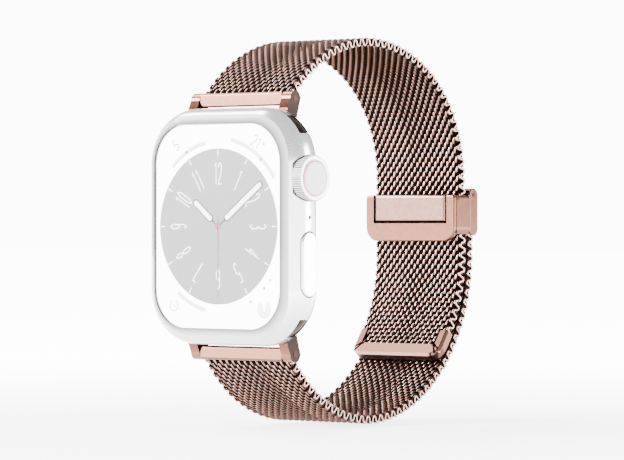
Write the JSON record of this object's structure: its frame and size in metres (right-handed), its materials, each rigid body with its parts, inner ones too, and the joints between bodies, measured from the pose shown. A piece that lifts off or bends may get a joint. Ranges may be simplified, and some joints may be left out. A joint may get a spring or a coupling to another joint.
{
  "type": "smartwatch",
  "caption": "Rounded rectangular smartwatch with a crown and side button on a woven steel-mesh loop band with a fold-over clasp.",
  "frame": {"origin": "top of the back crystal's dome, the point that rests on the wrist", "axes": "+Z towards 12 o'clock, +X out through the crown, -Y out through the display, +Y into the wrist"},
  "size_m": [0.0396, 0.0669, 0.0749],
  "materials": {
    "case_aluminium": "satin silver anodised",
    "front_glass": "polished cover glass",
    "back_glass": "polished dark ceramic and crystal",
    "seal_rubber": "matt seal",
    "display": "lit white display",
    "flex_film": "amber film",
    "circuit_board": "solder mask",
    "battery_foil": "foil pouch",
    "motor_steel": "brushed",
    "tungsten": "sintered",
    "black_polymer": "moulded",
    "crown_aluminium": "satin, fine knurl",
    "crown_accent": "pink enamel",
    "crown_cap_ceramic": "smooth pale ceramic",
    "bush_brass": "turned",
    "copper": "enamelled copper",
    "magnet_nickel": "nickel plated",
    "rose_polished": "polished rose-gold plated steel",
    "rose_mesh": "woven rose-gold plated steel wire"
  },
  "bodies": {
    "watch": {"case": "case_aluminium", "front_crystal": "front_glass", "crystal_gasket": "seal_rubber", "display_panel": "display", "display_flex": "flex_film", "logic_board": "circuit_board", "battery": "battery_foil", "haptic_housing": "motor_steel", "speaker": "black_polymer", "microphone": "motor_steel", "crown_bush": "bush_brass", "crown_seal": "seal_rubber", "crown_switch": "motor_steel", "side_button_seal": "seal_rubber", "side_button_switch": "motor_steel", "back_cover": "back_glass", "back_gasket": "seal_rubber", "back_crystal": "back_glass", "sensor_board": "circuit_board", "charging_coil": "copper", "alignment_magnet": "magnet_nickel", "release_pads": "seal_rubber"},
    "haptic_slider": {"haptic_mass": "tungsten"},
    "crown_carrier": {"crown_plunger": "motor_steel"},
    "crown": {"crown_wheel": "crown_aluminium", "crown_ring": "crown_accent", "crown_cap": "crown_cap_ceramic", "crown_stem": "motor_steel"},
    "side_key": {"side_button": "case_aluminium"},
    "upper_release": {"upper_release_button": "case_aluminium"},
    "lower_release": {"lower_release_button": "case_aluminium"},
    "upper_lug": {"upper_connector": "rose_polished", "upper_lug_pin": "rose_polished"},
    "lower_lug": {"lower_connector": "rose_polished", "lower_lug_pin": "rose_polished"},
    "upper_strap_1": {"upper_end_bar": "rose_polished", "upper_mesh_1": "rose_mesh"},
    "upper_strap_2": {"upper_mesh_2": "rose_mesh"},
    "upper_strap_3": {"upper_mesh_3": "rose_mesh"},
    "upper_strap_4": {"upper_mesh_4": "rose_mesh"},
    "clasp": {"clasp_body": "rose_polished", "clasp_magnets": "magnet_nickel", "lever_pin": "rose_polished", "tail_mesh_1": "rose_mesh"},
    "tail": {"tail_mesh_2": "rose_mesh", "tail_end_cap": "rose_polished"},
    "lever": {"clamp_lever": "rose_polished"},
    "lower_strap_1": {"lower_end_bar": "rose_polished", "lower_mesh_1": "rose_mesh"},
    "lower_strap_2": {"lower_mesh_2": "rose_mesh"},
    "lower_strap_3": {"lower_mesh_3": "rose_mesh"},
    "lower_strap_4": {"lower_mesh_4": "rose_mesh"},
    "lower_strap_5": {"lower_mesh_5": "rose_mesh", "cover_end_bar": "rose_polished", "cover_pin": "rose_polished"},
    "cover": {"clasp_cover": "rose_polished"}
  },
  "joints": [
    {"name": "haptic_slide", "type": "slide", "parent": "watch", "child": "haptic_slider", "axis": [1, 0, 0], "range_m": [-0.0018, 0.0018], "stiffness_N_per_m": 200},
    {"name": "crown_press", "type": "slide", "parent": "watch", "child": "crown_carrier", "axis": [-1, 0, 0], "range_m": [0, 0.0003], "stiffness_N_per_m": 1500},
    {"name": "crown_turn", "type": "hinge", "parent": "crown_carrier", "child": "crown", "pos_m": [0.018, -0.0055, 0.009], "axis": [1, 0, 0], "continuous": true},
    {"name": "side_button_press", "type": "slide", "parent": "watch", "child": "side_key", "axis": [-1, 0, 0], "range_m": [0, 0.0003], "stiffness_N_per_m": 1500},
    {"name": "upper_release_press", "type": "slide", "parent": "watch", "child": "upper_release", "axis": [0, -1, 0], "range_m": [0, 0.0003], "stiffness_N_per_m": 1500},
    {"name": "lower_release_press", "type": "slide", "parent": "watch", "child": "lower_release", "axis": [0, -1, 0], "range_m": [0, 0.0003], "stiffness_N_per_m": 1500},
    {"name": "upper_band_slide", "type": "slide", "parent": "watch", "child": "upper_lug", "axis": [-1, 0, 0], "range_m": [0, 0.03]},
    {"name": "lower_band_slide", "type": "slide", "parent": "watch", "child": "lower_lug", "axis": [-1, 0, 0], "range_m": [0, 0.03]},
    {"name": "lower_lug_hinge", "type": "hinge", "parent": "lower_lug", "child": "lower_strap_1", "pos_m": [0, -0.0019, -0.0241], "axis": [-1, 0, 0], "range_deg": [0, 22]},
    {"name": "lower_fold_1", "type": "hinge", "parent": "lower_strap_1", "child": "lower_strap_2", "pos_m": [0, 0.01336, -0.03569], "axis": [-1, 0, 0], "range_deg": [0, 22]},
    {"name": "lower_fold_2", "type": "hinge", "parent": "lower_strap_2", "child": "lower_strap_3", "pos_m": [0, 0.03074, -0.03641], "axis": [-1, 0, 0], "range_deg": [0, 22]},
    {"name": "lower_fold_3", "type": "hinge", "parent": "lower_strap_3", "child": "lower_strap_4", "pos_m": [0, 0.04577, -0.02759], "axis": [-1, 0, 0], "range_deg": [0, 22]},
    {"name": "lower_fold_4", "type": "hinge", "parent": "lower_strap_4", "child": "lower_strap_5", "pos_m": [0, 0.05394, -0.0122], "axis": [-1, 0, 0], "range_deg": [0, 22]},
    {"name": "upper_lug_hinge", "type": "hinge", "parent": "upper_lug", "child": "upper_strap_1", "pos_m": [0, -0.0019, 0.0241], "axis": [1, 0, 0], "range_deg": [0, 22]},
    {"name": "upper_fold_1", "type": "hinge", "parent": "upper_strap_1", "child": "upper_strap_2", "pos_m": [0, 0.01485, 0.0346], "axis": [1, 0, 0], "range_deg": [0, 22]},
    {"name": "upper_fold_2", "type": "hinge", "parent": "upper_strap_2", "child": "upper_strap_3", "pos_m": [0, 0.03284, 0.03424], "axis": [1, 0, 0], "range_deg": [0, 22]},
    {"name": "upper_fold_3", "type": "hinge", "parent": "upper_strap_3", "child": "upper_strap_4", "pos_m": [0, 0.0475, 0.02395], "axis": [1, 0, 0], "range_deg": [0, 22]},
    {"name": "clasp_fold", "type": "hinge", "parent": "upper_strap_4", "child": "clasp", "pos_m": [0, 0.05205, 0.0065], "axis": [1, 0, 0], "range_deg": [0, 22]},
    {"name": "tail_fold", "type": "hinge", "parent": "clasp", "child": "tail", "pos_m": [0, 0.05156, -0.01092], "axis": [1, 0, 0], "range_deg": [-22, 22]},
    {"name": "clamp_lever_flip", "type": "hinge", "parent": "clasp", "child": "lever", "pos_m": [0, 0.04975, 0.00565], "axis": [-1, 0, 0], "range_deg": [0, 80]},
    {"name": "cover_flip", "type": "hinge", "parent": "lower_strap_5", "child": "cover", "pos_m": [0, 0.0549, 0.0063], "axis": [1, 0, 0], "range_deg": [0, 90]}
  ],
  "couplings": [
    {"joint": "lower_band_slide", "follows": "upper_band_slide", "ratio": 1},
    {"joint": "lower_fold_1", "follows": "lower_lug_hinge", "ratio": 1},
    {"joint": "lower_fold_2", "follows": "lower_lug_hinge", "ratio": 1},
    {"joint": "lower_fold_3", "follows": "lower_lug_hinge", "ratio": 1},
    {"joint": "lower_fold_4", "follows": "lower_lug_hinge", "ratio": 1},
    {"joint": "upper_lug_hinge", "follows": "lower_lug_hinge", "ratio": 0.4},
    {"joint": "upper_fold_1", "follows": "lower_lug_hinge", "ratio": 0.4},
    {"joint": "upper_fold_2", "follows": "lower_lug_hinge", "ratio": 0.4},
    {"joint": "upper_fold_3", "follows": "lower_lug_hinge", "ratio": 0.4},
    {"joint": "clasp_fold", "follows": "lower_lug_hinge", "ratio": 0.4},
    {"joint": "tail_fold", "follows": "lower_lug_hinge", "ratio": -0.3}
  ]
}
